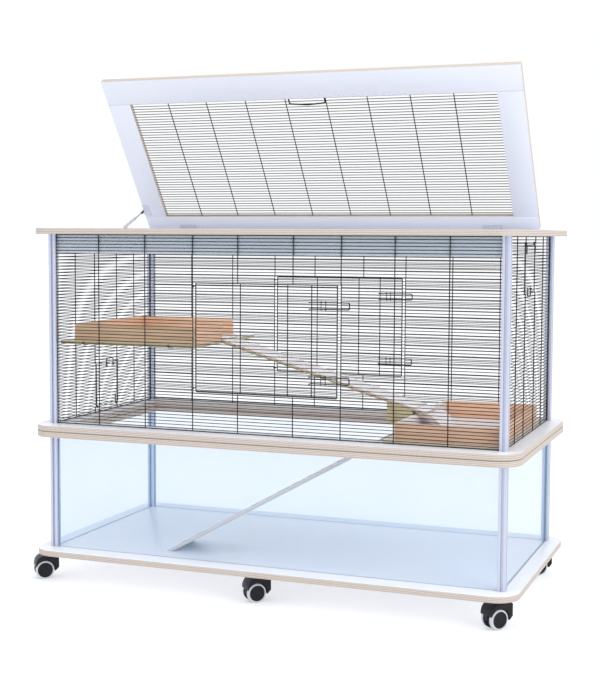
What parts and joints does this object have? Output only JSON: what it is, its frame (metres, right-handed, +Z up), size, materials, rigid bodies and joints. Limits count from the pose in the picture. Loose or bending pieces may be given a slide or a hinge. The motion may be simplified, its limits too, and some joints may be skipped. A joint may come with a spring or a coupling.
{
  "type": "small-animal cage",
  "caption": "Two-room small-animal cage on casters: glazed lower room, wire upper room with lifting wire lid on a gas strut, wire doors and flaps, board levels, boxes and ramps.",
  "frame": {"origin": "on the ground under the middle of the part's outline seen from above", "axes": "+X to the right seen from the front, +Y to the back, +Z up; the long glazed and gridded face looks along -Y"},
  "size_m": [1.3266, 0.68, 1.3573],
  "materials": {
    "plywood": "birch plywood with a pale laminated face and bare layered edge",
    "laminate_board": "white laminated board with a bare brown edge",
    "pine": "light pine, lightly oiled",
    "post_aluminium": "satin anodised extrusion",
    "pane_glass": "clear float glass",
    "black_wire": "black coated steel wire",
    "hinge_steel": "zinc plated steel",
    "black_plastic": "black moulded plastic",
    "caster_tread": "grey tread with a black hub"
  },
  "bodies": {
    "cage": {"base_plate": "plywood", "lower_rim_plate": "plywood", "cage_floor_plate": "plywood", "top_frame_plate": "plywood", "front_header_board": "laminate_board", "lower_post_front_left": "post_aluminium", "lower_post_front_right": "post_aluminium", "lower_post_back_left": "post_aluminium", "lower_post_back_right": "post_aluminium", "upper_post_front_left": "post_aluminium", "upper_post_front_right": "post_aluminium", "upper_post_back_left": "post_aluminium", "upper_post_back_right": "post_aluminium", "front_glass": "pane_glass", "back_glass": "pane_glass", "left_glass": "pane_glass", "right_glass": "pane_glass", "front_grille": "black_wire", "back_grille": "black_wire", "left_grille": "black_wire", "right_grille": "black_wire", "left_hinge_plate_leaf": "hinge_steel", "right_hinge_plate_leaf": "hinge_steel", "strut_base_bracket": "hinge_steel", "upper_shelf_board": "laminate_board", "lower_floor_board": "laminate_board", "upper_box": "pine", "lower_box": "pine", "upper_ramp": "laminate_board", "lower_ramp": "laminate_board"},
    "lid": {"lid_frame": "laminate_board", "lid_grille": "black_wire", "strut_lid_bracket": "hinge_steel", "left_hinge_lid_leaf": "hinge_steel", "right_hinge_lid_leaf": "hinge_steel"},
    "lid_handle": {"lid_handle": "black_wire"},
    "strut_cylinder": {"strut_cylinder": "black_plastic"},
    "strut_rod": {"strut_rod": "hinge_steel"},
    "front_door": {"front_door": "black_wire"},
    "front_door_lower_latch": {"front_door_lower_latch": "black_wire"},
    "front_door_upper_latch": {"front_door_upper_latch": "black_wire"},
    "back_door": {"back_door": "black_wire"},
    "back_door_lower_latch": {"back_door_lower_latch": "black_wire"},
    "back_door_upper_latch": {"back_door_upper_latch": "black_wire"},
    "left_flap": {"left_flap": "black_wire"},
    "left_flap_latch": {"left_flap_latch": "black_wire"},
    "right_flap": {"right_flap": "black_wire"},
    "right_flap_latch": {"right_flap_latch": "black_wire"},
    "front_left_caster_hood": {"front_left_caster_hood": "black_plastic"},
    "front_left_caster_wheels": {"front_left_caster_wheels": "caster_tread"},
    "front_middle_caster_hood": {"front_middle_caster_hood": "black_plastic"},
    "front_middle_caster_wheels": {"front_middle_caster_wheels": "caster_tread"},
    "front_right_caster_hood": {"front_right_caster_hood": "black_plastic"},
    "front_right_caster_wheels": {"front_right_caster_wheels": "caster_tread"},
    "back_left_caster_hood": {"back_left_caster_hood": "black_plastic"},
    "back_left_caster_wheels": {"back_left_caster_wheels": "caster_tread"},
    "back_middle_caster_hood": {"back_middle_caster_hood": "black_plastic"},
    "back_middle_caster_wheels": {"back_middle_caster_wheels": "caster_tread"},
    "back_right_caster_hood": {"back_right_caster_hood": "black_plastic"},
    "back_right_caster_wheels": {"back_right_caster_wheels": "caster_tread"}
  },
  "joints": [
    {"name": "lid_hinge", "type": "hinge", "parent": "cage", "child": "lid", "pos_m": [0.01334, 0.2336, 0.9425], "axis": [1, 0, 0], "range_deg": [0, 54.09]},
    {"name": "strut_pivot", "type": "hinge", "parent": "cage", "child": "strut_cylinder", "pos_m": [-0.57936, 0.086, 0.949], "axis": [1, 0, 0], "range_deg": [-21.8, 0]},
    {"name": "strut_slide", "type": "slide", "parent": "strut_cylinder", "child": "strut_rod", "axis": [0, 0.9288, 0.3706], "range_m": [-0.0395, 0]},
    {"name": "lid_handle_pivot", "type": "hinge", "parent": "lid", "child": "lid_handle", "pos_m": [0.01334, -0.00461, 1.30214], "axis": [1, 0, 0], "range_deg": [0, 170]},
    {"name": "front_door_hinge", "type": "hinge", "parent": "cage", "child": "front_door", "pos_m": [-0.18666, -0.27865, 0.6655], "axis": [0, 0, -1], "range_deg": [0, 110]},
    {"name": "front_door_lower_latch_slide", "type": "slide", "parent": "front_door", "child": "front_door_lower_latch", "axis": [-1, 0, 0], "range_m": [0, 0.026]},
    {"name": "front_door_upper_latch_slide", "type": "slide", "parent": "front_door", "child": "front_door_upper_latch", "axis": [-1, 0, 0], "range_m": [0, 0.026]},
    {"name": "back_door_hinge", "type": "hinge", "parent": "cage", "child": "back_door", "pos_m": [-0.18666, 0.27865, 0.6655], "axis": [0, 0, 1], "range_deg": [0, 110]},
    {"name": "back_door_lower_latch_slide", "type": "slide", "parent": "back_door", "child": "back_door_lower_latch", "axis": [-1, 0, 0], "range_m": [0, 0.026]},
    {"name": "back_door_upper_latch_slide", "type": "slide", "parent": "back_door", "child": "back_door_upper_latch", "axis": [-1, 0, 0], "range_m": [0, 0.026]},
    {"name": "left_flap_hinge", "type": "hinge", "parent": "cage", "child": "left_flap", "pos_m": [-0.59231, 0, 0.439], "axis": [0, -1, 0], "range_deg": [0, 90]},
    {"name": "left_flap_latch_slide", "type": "slide", "parent": "left_flap", "child": "left_flap_latch", "axis": [0, 0, -1], "range_m": [0, 0.011]},
    {"name": "right_flap_hinge", "type": "hinge", "parent": "cage", "child": "right_flap", "pos_m": [0.61899, 0, 0.9094], "axis": [0, -1, 0], "range_deg": [0, 90]},
    {"name": "right_flap_latch_slide", "type": "slide", "parent": "right_flap", "child": "right_flap_latch", "axis": [0, 0, 1], "range_m": [0, 0.011]},
    {"name": "front_left_caster_swivel", "type": "hinge", "parent": "cage", "child": "front_left_caster_hood", "pos_m": [-0.61166, -0.267, 0.07], "axis": [0, 0, 1], "continuous": true},
    {"name": "front_left_wheel_spin", "type": "hinge", "parent": "front_left_caster_hood", "child": "front_left_caster_wheels", "pos_m": [-0.63005, -0.28243, 0.025], "axis": [-0.6428, 0.766, 0], "continuous": true},
    {"name": "front_middle_caster_swivel", "type": "hinge", "parent": "cage", "child": "front_middle_caster_hood", "pos_m": [0.00434, -0.267, 0.07], "axis": [0, 0, 1], "continuous": true},
    {"name": "front_middle_wheel_spin", "type": "hinge", "parent": "front_middle_caster_hood", "child": "front_middle_caster_wheels", "pos_m": [-0.01293, -0.28367, 0.025], "axis": [-0.6947, 0.7193, 0], "continuous": true},
    {"name": "front_right_caster_swivel", "type": "hinge", "parent": "cage", "child": "front_right_caster_hood", "pos_m": [0.62034, -0.267, 0.07], "axis": [0, 0, 1], "continuous": true},
    {"name": "front_right_wheel_spin", "type": "hinge", "parent": "front_right_caster_hood", "child": "front_right_caster_wheels", "pos_m": [0.60491, -0.28538, 0.025], "axis": [-0.766, 0.6428, 0], "continuous": true},
    {"name": "back_left_caster_swivel", "type": "hinge", "parent": "cage", "child": "back_left_caster_hood", "pos_m": [-0.61166, 0.267, 0.07], "axis": [0, 0, 1], "continuous": true},
    {"name": "back_left_wheel_spin", "type": "hinge", "parent": "back_left_caster_hood", "child": "back_left_caster_wheels", "pos_m": [-0.62709, 0.24862, 0.025], "axis": [-0.766, 0.6428, 0], "continuous": true},
    {"name": "back_middle_caster_swivel", "type": "hinge", "parent": "cage", "child": "back_middle_caster_hood", "pos_m": [0.00434, 0.267, 0.07], "axis": [0, 0, 1], "continuous": true},
    {"name": "back_middle_wheel_spin", "type": "hinge", "parent": "back_middle_caster_hood", "child": "back_middle_caster_wheels", "pos_m": [-0.01293, 0.25033, 0.025], "axis": [-0.6947, 0.7193, 0], "continuous": true},
    {"name": "back_right_caster_swivel", "type": "hinge", "parent": "cage", "child": "back_right_caster_hood", "pos_m": [0.62034, 0.267, 0.07], "axis": [0, 0, 1], "continuous": true},
    {"name": "back_right_wheel_spin", "type": "hinge", "parent": "back_right_caster_hood", "child": "back_right_caster_wheels", "pos_m": [0.60195, 0.25157, 0.025], "axis": [-0.6428, 0.766, 0], "continuous": true}
  ],
  "couplings": [
    {"joint": "strut_pivot", "follows": "lid_hinge", "ratio": -0.40215},
    {"joint": "strut_slide", "follows": "lid_hinge", "m_per_rad": -0.041803}
  ]
}
